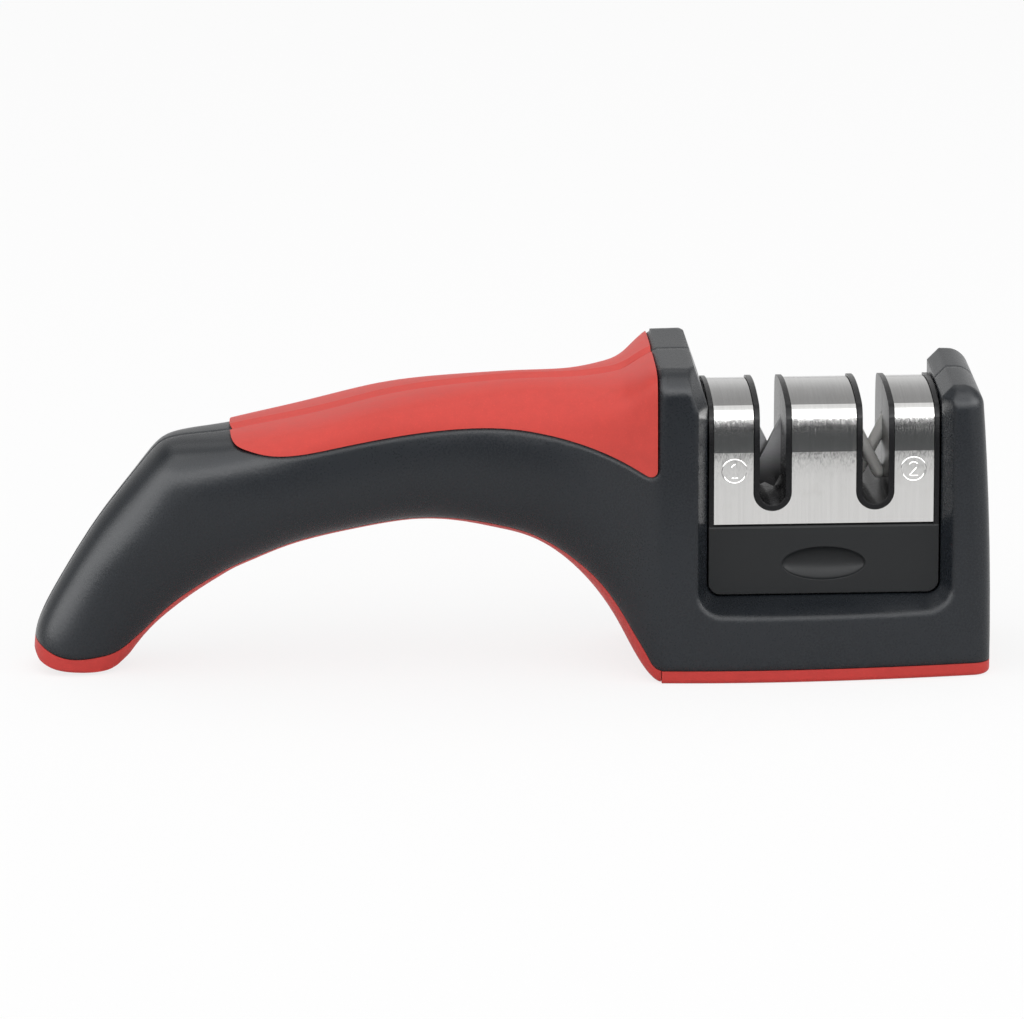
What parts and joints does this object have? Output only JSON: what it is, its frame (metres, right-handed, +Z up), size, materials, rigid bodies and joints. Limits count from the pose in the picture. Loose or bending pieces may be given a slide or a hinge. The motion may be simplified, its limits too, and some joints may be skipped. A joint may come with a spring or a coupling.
{
  "type": "pull through knife sharpener",
  "caption": "Pull through knife sharpener with an arched soft grip handle, a non-slip base and a lift-out cartridge with a coarse carbide slot and a fine ceramic slot.",
  "frame": {"origin": "on the ground, under the middle of the whole length, in the parting plane of the shells", "axes": "+Z up, +X along the handle from its foot towards the nose of the base, Y across the width with the front towards -Y"},
  "size_m": [0.2017, 0.0464, 0.0673],
  "materials": {
    "shell": "fine moulded grain",
    "grip": "soft matt",
    "sole": "soft matt, non-slip",
    "core": "satin",
    "cover": "brushed along X",
    "carbide": "ground",
    "ceramic": "unglazed white ceramic",
    "screw": "plated"
  },
  "bodies": {
    "base": {"front_shell": "shell", "rear_shell": "shell", "front_grip": "grip", "rear_grip": "grip", "foot_sole": "sole", "arch_strip": "sole", "base_sole": "sole"},
    "cartridge": {"front_core": "core", "rear_core": "core", "steel_cover": "cover", "front_carbide": "carbide", "rear_carbide": "carbide", "front_ceramic": "ceramic", "rear_ceramic": "ceramic", "core_screws": "screw"}
  },
  "joints": [
    {"name": "cartridge_lift", "type": "slide", "parent": "base", "child": "cartridge", "axis": [0, 0, 1], "range_m": [0, 0.055]}
  ]
}
